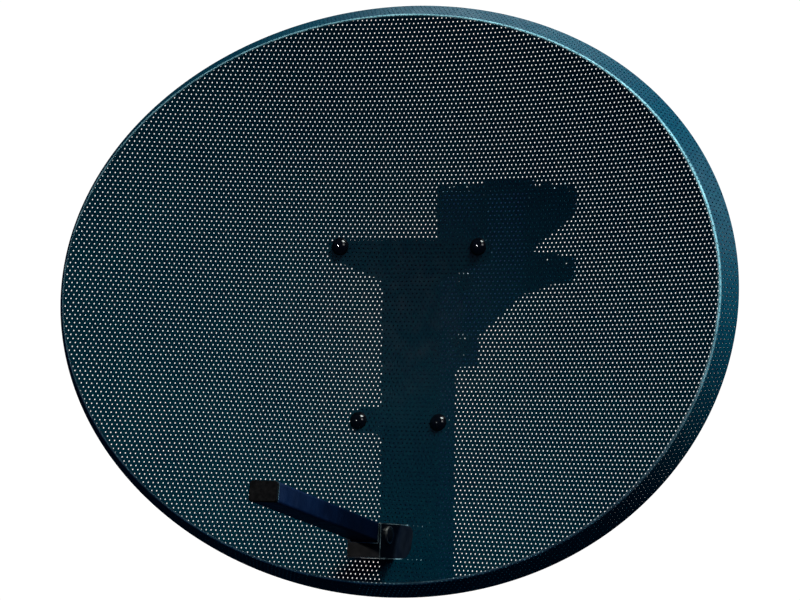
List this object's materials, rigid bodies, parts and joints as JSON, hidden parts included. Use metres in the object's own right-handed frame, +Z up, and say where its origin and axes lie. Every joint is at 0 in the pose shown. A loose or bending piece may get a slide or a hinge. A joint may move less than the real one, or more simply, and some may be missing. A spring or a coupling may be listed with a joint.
{
  "type": "satellite dish",
  "caption": "Small oval satellite dish of perforated sheet with a dark painted back bracket, a tilting elevation mount, a mast clamp and a folding feed arm.",
  "frame": {"origin": "on the mast's axis, midway between the upper and lower clamp saddles", "axes": "+Z up along the mast, the dish looks along -Y, +X to the right seen from the front"},
  "size_m": [0.5204, 0.5238, 0.4316],
  "materials": {
    "mesh_paint": "satin",
    "black_paint": "satin",
    "black_fasteners": "semi-gloss",
    "zinc_plate": "dull",
    "black_plastic": "matte"
  },
  "bodies": {
    "clamp_bracket": {"elevation_bracket": "black_paint", "elevation_pivot_bolts": "black_fasteners", "elevation_pivot_washers": "zinc_plate", "elevation_pivot_nuts": "zinc_plate", "elevation_lock_bolts": "black_fasteners", "elevation_lock_washers": "zinc_plate", "elevation_lock_nuts": "zinc_plate", "mast_clamp_plate": "black_paint", "clamp_plate_bolts": "black_fasteners", "clamp_plate_nuts": "zinc_plate", "upper_front_cradle": "black_paint", "lower_front_cradle": "black_paint", "upper_clamp_bolts": "black_fasteners", "lower_clamp_bolts": "black_fasteners"},
    "upper_saddle": {"upper_rear_saddle": "black_paint", "upper_clamp_washers": "zinc_plate", "upper_clamp_nuts": "zinc_plate"},
    "lower_saddle": {"lower_rear_saddle": "black_paint", "lower_clamp_washers": "zinc_plate", "lower_clamp_nuts": "zinc_plate"},
    "dish": {"reflector": "mesh_paint", "spine_channel": "black_paint", "wing_plate": "black_paint", "lower_ear_bracket": "black_paint", "upper_dish_bolts": "black_fasteners", "upper_dish_washers": "zinc_plate", "upper_dish_nuts": "zinc_plate", "lower_dish_bolts": "black_fasteners", "lower_dish_washers": "zinc_plate", "lower_dish_nuts": "zinc_plate", "arm_bracket": "black_paint", "arm_bracket_bolts": "black_fasteners", "arm_bracket_nuts": "zinc_plate", "arm_pivot_bolt": "black_fasteners", "arm_pivot_washers": "zinc_plate", "arm_pivot_nut": "zinc_plate"},
    "arm": {"feed_arm": "black_paint", "arm_end_cap": "black_plastic", "arm_pivot_bush": "zinc_plate"}
  },
  "joints": [
    {"name": "elevation_tilt", "type": "hinge", "parent": "clamp_bracket", "child": "dish", "pos_m": [0, -0.19454, -0.06007], "axis": [-1, 0, 0], "range_deg": [-18, 18]},
    {"name": "arm_fold", "type": "hinge", "parent": "dish", "child": "arm", "pos_m": [0, -0.293, -0.251], "axis": [-1, 0, 0], "range_deg": [0, 90]},
    {"name": "upper_saddle_slide", "type": "slide", "parent": "clamp_bracket", "child": "upper_saddle", "axis": [0, 1, 0], "range_m": [-0.009, 0.012]},
    {"name": "lower_saddle_slide", "type": "slide", "parent": "clamp_bracket", "child": "lower_saddle", "axis": [0, 1, 0], "range_m": [-0.009, 0.012]}
  ]
}
